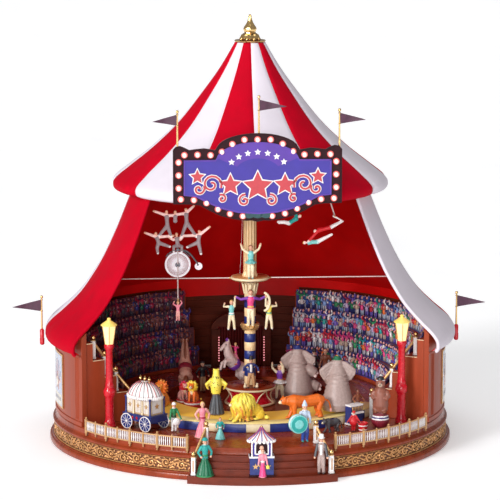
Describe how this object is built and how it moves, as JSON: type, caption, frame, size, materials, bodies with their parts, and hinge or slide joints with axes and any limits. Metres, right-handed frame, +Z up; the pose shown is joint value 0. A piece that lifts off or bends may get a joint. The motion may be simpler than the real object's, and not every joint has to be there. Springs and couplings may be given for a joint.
{
  "type": "toy circus big top tent",
  "caption": "Table-top musical circus ornament: striped tent on a round base with stair, ring, seating, lit sign and moulded performers; spinning, wire-riding and swinging acts.",
  "frame": {"origin": "centre of the round base's underside", "axes": "+Z up the tent's mast, +X to the right and -Y towards the front stair"},
  "size_m": [0.3592, 0.3165, 0.3201],
  "materials": {
    "wood_brown": "wood-look moulded plastic, satin",
    "gold_relief": "antique gold relief on brown",
    "rail_gold": "gold paint, satin",
    "fence_cream": "cream and gold paint",
    "crowd_colours": "many small painted figures",
    "curtain_dark": "dark plastic, satin",
    "tent_skirt": "moulded shell with flocked red and white stripes",
    "tent_roof": "moulded shell with flocked red and white stripes",
    "finial_gold": "polished gold plate",
    "sign_violet": "gloss panel with lit bulbs",
    "flag_navy": "painted pennant on a gold pole",
    "lamp_red": "gloss red post, amber lantern",
    "ring_cream": "painted blocks, satin",
    "drum_red": "gloss red with white lacing",
    "pole_navy": "navy and cream bands",
    "mast_gold": "gold paint, fluted",
    "platform_cream": "cream paint",
    "cycle_white": "white wheel, dark frame",
    "figure_teal": "hand painted",
    "figure_grey": "hand painted",
    "figure_pink": "hand painted",
    "figure_red": "hand painted",
    "figure_green": "hand painted",
    "figure_yellow": "hand painted",
    "figure_black": "hand painted",
    "lion_yellow": "hand painted",
    "lion_orange": "hand painted",
    "horse_brown": "hand painted",
    "horse_white": "hand painted",
    "elephant_grey": "hand painted",
    "bear_brown": "hand painted",
    "wagon_navy": "navy chassis, cream box, white roof",
    "booth_navy": "navy and violet, striped roof"
  },
  "bodies": {
    "tent": {"base_plinth": "wood_brown", "ornament_band": "gold_relief", "front_steps": "wood_brown", "stair_rail_left": "rail_gold", "stair_rail_right": "rail_gold", "deck_fence_left": "fence_cream", "deck_fence_right": "fence_cream", "wall_left": "wood_brown", "wall_right": "wood_brown", "wall_back": "wood_brown", "bleacher_left": "wood_brown", "bleacher_right": "wood_brown", "crowd_left": "crowd_colours", "crowd_right": "crowd_colours", "aisle_rail_left": "rail_gold", "aisle_rail_right": "rail_gold", "performers_entrance": "curtain_dark", "skirt_left": "tent_skirt", "skirt_right": "tent_skirt", "skirt_back_left": "tent_skirt", "skirt_back_right": "tent_skirt", "roof_canopy": "tent_roof", "finial": "finial_gold", "sign_board": "sign_violet", "side_flag_left": "flag_navy", "side_flag_right": "flag_navy", "lamp_post_left": "lamp_red", "lamp_post_right": "lamp_red", "ring_curb": "ring_cream", "pedestal_drum": "drum_red", "mast_lower": "pole_navy", "mast_upper": "mast_gold", "wire_platform": "platform_cream", "trapeze_yoke": "mast_gold", "green_clown": "figure_green", "pink_lady": "figure_pink", "teal_child": "figure_teal", "lion_tamer": "figure_yellow", "bandsman": "figure_black", "stair_lady": "figure_green", "stair_man": "figure_grey", "lion_on_ring": "lion_yellow", "tiger_on_ring": "lion_orange", "lion_by_wagon": "lion_orange", "lions_on_tubs": "lion_orange", "horse_left": "horse_brown", "horse_centre": "horse_white", "elephant_back": "elephant_grey", "elephant_front": "elephant_grey", "drum_clown": "figure_teal", "bear_on_ball": "bear_brown", "bucket_clown": "figure_red", "performing_dog": "figure_black", "parade_wagon": "wagon_navy", "ticket_booth": "booth_navy"},
    "spinner": {"spinner_acrobats": "figure_teal"},
    "cycle": {"wire_cycle": "cycle_white", "cycle_acrobats": "figure_grey", "slung_acrobat": "figure_pink"},
    "trapeze": {"trapeze_flyers": "figure_red"}
  },
  "joints": [
    {"name": "spinner_turn", "type": "hinge", "parent": "tent", "child": "spinner", "pos_m": [0, 0, 0.085], "axis": [0, 0, 1], "continuous": true},
    {"name": "wire_ride", "type": "slide", "parent": "tent", "child": "cycle", "axis": [1, 0, 0], "range_m": [-0.012, 0.012]},
    {"name": "trapeze_swing", "type": "hinge", "parent": "tent", "child": "trapeze", "pos_m": [0.0493, 0, 0.216], "axis": [0, 1, 0], "range_deg": [-15, 15]}
  ]
}
